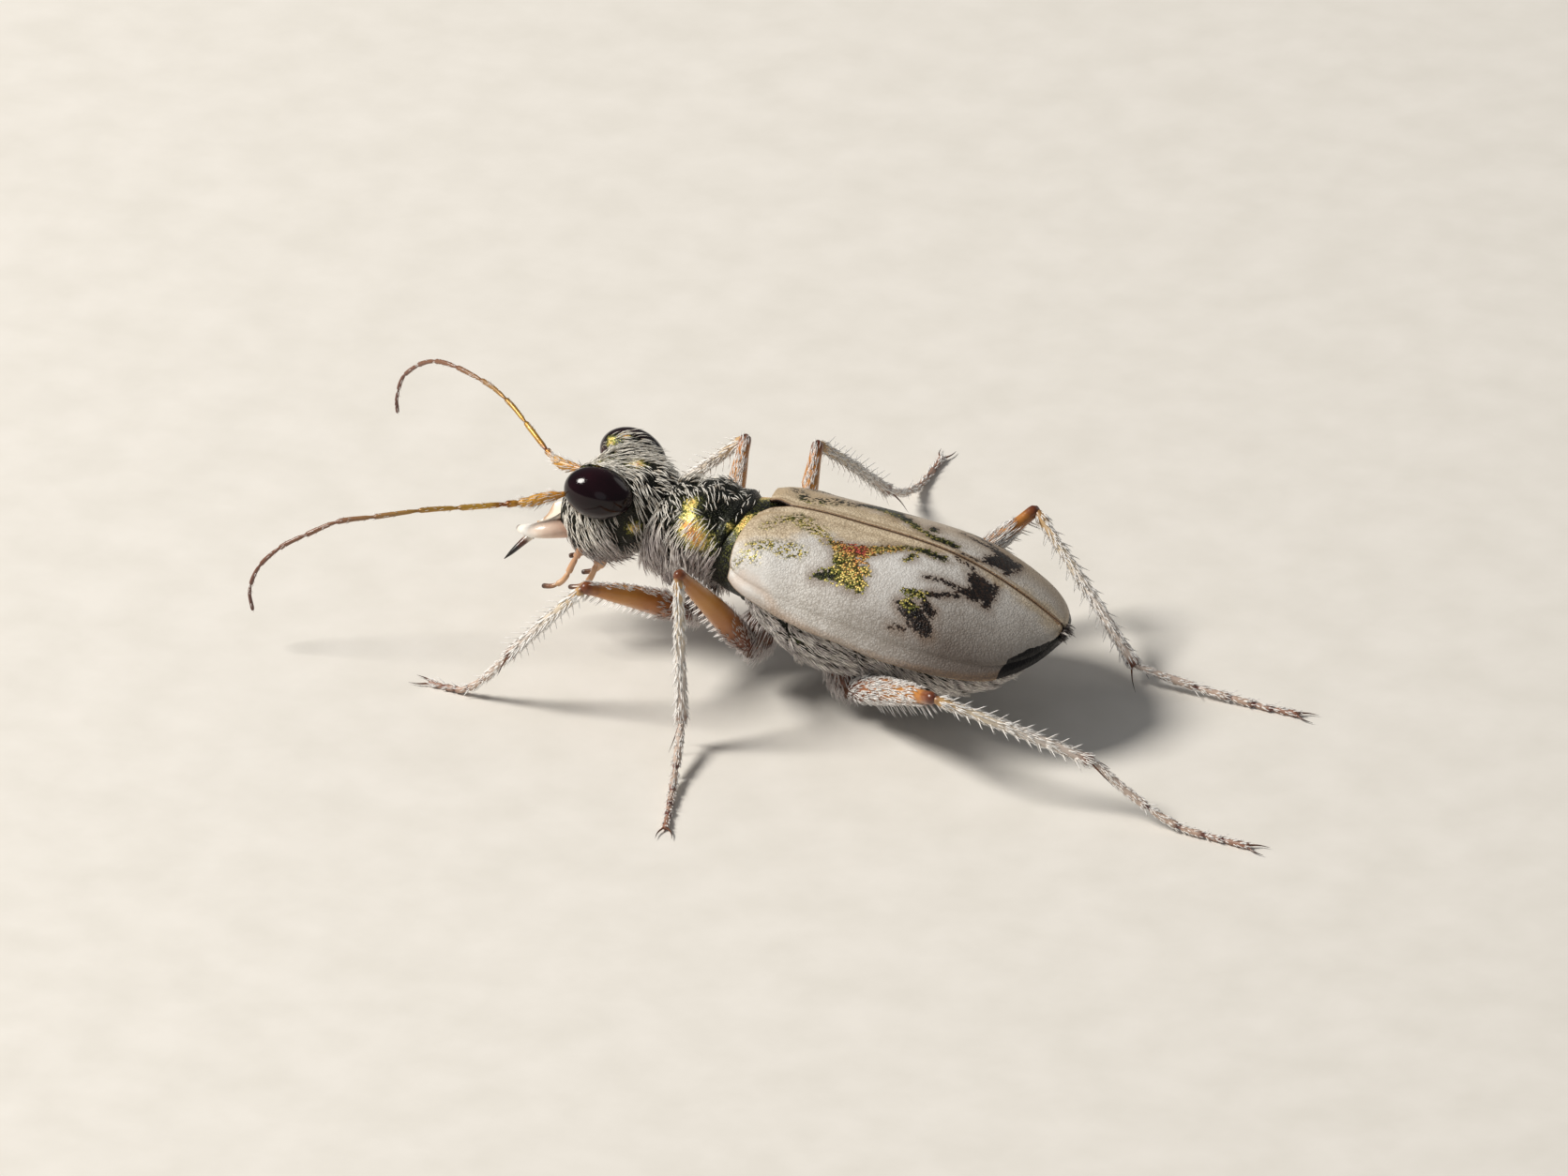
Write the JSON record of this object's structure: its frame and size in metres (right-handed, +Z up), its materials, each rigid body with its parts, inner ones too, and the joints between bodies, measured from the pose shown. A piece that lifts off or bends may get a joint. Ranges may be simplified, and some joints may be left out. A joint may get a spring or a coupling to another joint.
{
  "type": "ghost tiger beetle model",
  "caption": "Still life-size model of a small pale tiger beetle standing on long thin legs, with bulging eyes, sickle jaws and swept feelers.",
  "frame": {"origin": "on the floor, under the middle of the bounding box", "axes": "+X from the head towards the tail, along the longest extent; -Y the animal's left side; +Z up"},
  "size_m": [0.0192, 0.0148, 0.0039],
  "materials": {
    "ivory_shell": "satin ivory shell with a fine grain",
    "bronze_shell": "dark bronze green shell with a metallic sheen",
    "pale_hair": "pale hairy underside",
    "dark_eye": "glossy near-black eye",
    "ivory_horn": "smooth ivory mouthpart",
    "amber_leg": "amber leg shell",
    "straw_leg": "straw leg shell with white hair",
    "feeler_brown": "red-brown feeler"
  },
  "bodies": {
    "root": {"elytron_left": "ivory_shell", "elytron_right": "ivory_shell", "mesothorax": "bronze_shell", "metathorax": "pale_hair", "abdomen": "pale_hair", "pronotum": "bronze_shell", "head": "bronze_shell", "eye_left": "dark_eye", "eye_right": "dark_eye", "labrum": "ivory_horn", "mandible_left": "ivory_horn", "mandible_right": "ivory_horn", "maxillary_palp_left": "ivory_horn", "labial_palp_left": "ivory_horn", "maxillary_palp_right": "ivory_horn", "labial_palp_right": "ivory_horn", "antenna_left_1": "feeler_brown", "antenna_left_2": "feeler_brown", "antenna_left_3": "feeler_brown", "antenna_right_1": "feeler_brown", "antenna_right_2": "feeler_brown", "antenna_right_3": "feeler_brown", "coxa_front_left": "amber_leg", "femur_front_left": "amber_leg", "tibia_front_left": "straw_leg", "tarsus_front_left": "straw_leg", "coxa_front_right": "amber_leg", "femur_front_right": "amber_leg", "tibia_front_right": "straw_leg", "tarsus_front_right": "straw_leg", "coxa_middle_left": "amber_leg", "femur_middle_left": "amber_leg", "tibia_middle_left": "straw_leg", "tarsus_middle_left": "straw_leg", "coxa_middle_right": "amber_leg", "femur_middle_right": "amber_leg", "tibia_middle_right": "straw_leg", "tarsus_middle_right": "straw_leg", "coxa_hind_left": "amber_leg", "femur_hind_left": "amber_leg", "tibia_hind_left": "straw_leg", "tarsus_hind_left": "straw_leg", "coxa_hind_right": "amber_leg", "femur_hind_right": "amber_leg", "tibia_hind_right": "straw_leg", "tarsus_hind_right": "straw_leg"}
  },
  "joints": []
}
